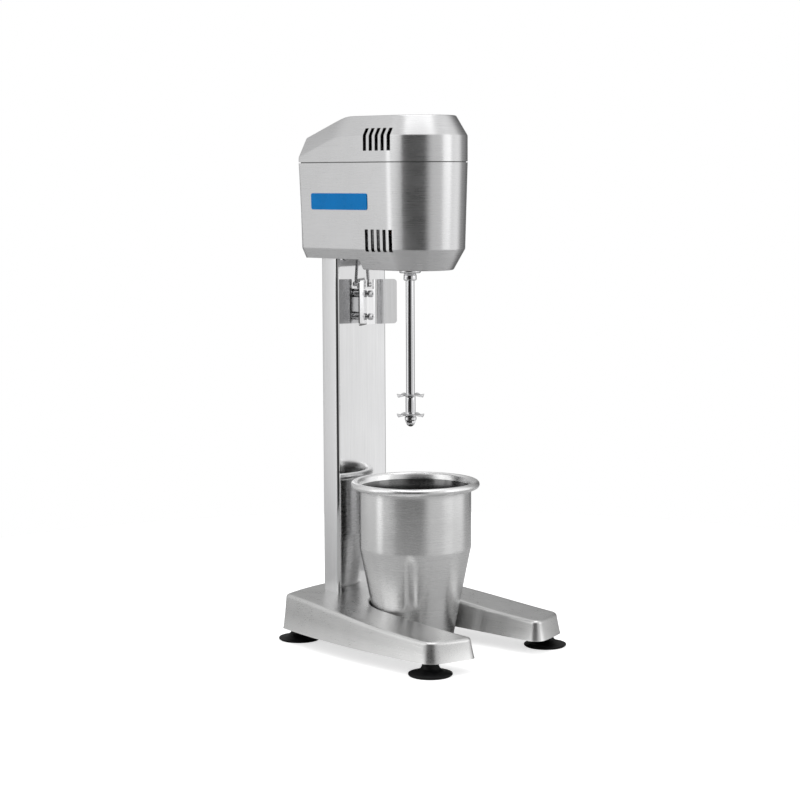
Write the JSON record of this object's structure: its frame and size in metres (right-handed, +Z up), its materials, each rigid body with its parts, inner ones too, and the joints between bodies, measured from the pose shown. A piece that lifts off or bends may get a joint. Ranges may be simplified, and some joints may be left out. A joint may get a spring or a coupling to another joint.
{
  "type": "milkshake mixer",
  "caption": "Single-spindle counter-top milkshake mixer with a motor head on a column, a cup-operated switch lever, an agitator and a loose steel mixing cup.",
  "frame": {"origin": "on the table, directly below the spindle, on the flat underside of the standing cup", "axes": "+Z up along the spindle, the front with the cup faces -Y, +X to the right seen from the front"},
  "size_m": [0.1938, 0.2286, 0.485],
  "materials": {
    "cast_aluminium": "brushed and lightly polished casting",
    "black_rubber": "satin moulded rubber",
    "fastener_steel": "plain bright steel",
    "polished_steel": "mirror polished front, satin brushed sides",
    "brushed_steel": "fine horizontal brushing",
    "chassis_steel": "plated folded sheet",
    "blue_label": "plain gloss blue, blank",
    "black_plastic": "moulded",
    "pale_plastic": "moulded",
    "lamination_steel": "varnished laminations",
    "copper_wire": "varnished copper",
    "bright_steel": "polished stainless steel"
  },
  "bodies": {
    "machine": {"base_casting": "cast_aluminium", "foot_front_left": "black_rubber", "foot_front_right": "black_rubber", "foot_rear_left": "black_rubber", "foot_rear_right": "black_rubber", "foot_studs": "fastener_steel", "column_tube": "polished_steel", "column_foot_block": "cast_aluminium", "column_foot_screws": "fastener_steel", "column_top_block": "cast_aluminium", "head_chassis": "chassis_steel", "chassis_screws": "fastener_steel", "head_lower_shell": "brushed_steel", "shell_screws": "fastener_steel", "head_top_cover": "brushed_steel", "cover_screws": "fastener_steel", "label_plate": "blue_label", "cup_bracket": "brushed_steel", "bracket_spacers": "fastener_steel", "bracket_screws": "fastener_steel", "lever_bracket": "chassis_steel", "lever_pivot_pin": "fastener_steel", "lever_return_spring": "fastener_steel", "microswitch_body": "black_plastic", "cable_gland": "black_plastic", "gland_locknut": "black_plastic", "terminal_block": "pale_plastic", "suppressor_capacitor": "pale_plastic", "lower_motor_bracket": "cast_aluminium", "upper_motor_bracket": "cast_aluminium", "motor_through_bolts": "fastener_steel", "stator_core": "lamination_steel", "field_coils": "copper_wire", "brush_holders": "black_plastic", "carbon_brushes": "black_plastic", "lower_bearing": "bright_steel", "upper_bearing": "bright_steel", "spindle_boss": "brushed_steel"},
    "spindle": {"motor_shaft": "bright_steel", "armature_core": "lamination_steel", "armature_winding": "copper_wire", "commutator": "copper_wire", "cooling_fan": "black_plastic", "shaft_collar": "bright_steel", "agitator_shaft": "bright_steel", "upper_agitator_disc": "bright_steel", "disc_spacer": "bright_steel", "lower_agitator_disc": "bright_steel", "agitator_washer": "bright_steel", "agitator_nut": "bright_steel"},
    "lever": {"cup_lever": "fastener_steel"},
    "plunger": {"switch_plunger": "pale_plastic"},
    "cup": {"mixing_cup": "brushed_steel"}
  },
  "joints": [
    {"name": "spindle_spin", "type": "hinge", "parent": "machine", "child": "spindle", "pos_m": [0, 0, 0.3], "axis": [0, 0, 1], "continuous": true},
    {"name": "lever_swing", "type": "hinge", "parent": "machine", "child": "lever", "pos_m": [0, 0.057, 0.366], "axis": [1, 0, 0], "range_deg": [0, 7.5], "stiffness_Nm_per_rad": 0.05},
    {"name": "plunger_press", "type": "slide", "parent": "machine", "child": "plunger", "axis": [0, -1, 0], "range_m": [0, 0.00197]},
    {"name": "cup_lift", "type": "slide", "parent": "machine", "child": "cup", "axis": [0, 0, 1], "range_m": [0, 0.135]}
  ],
  "couplings": [
    {"joint": "plunger_press", "follows": "lever_swing", "m_per_rad": 0.015}
  ]
}
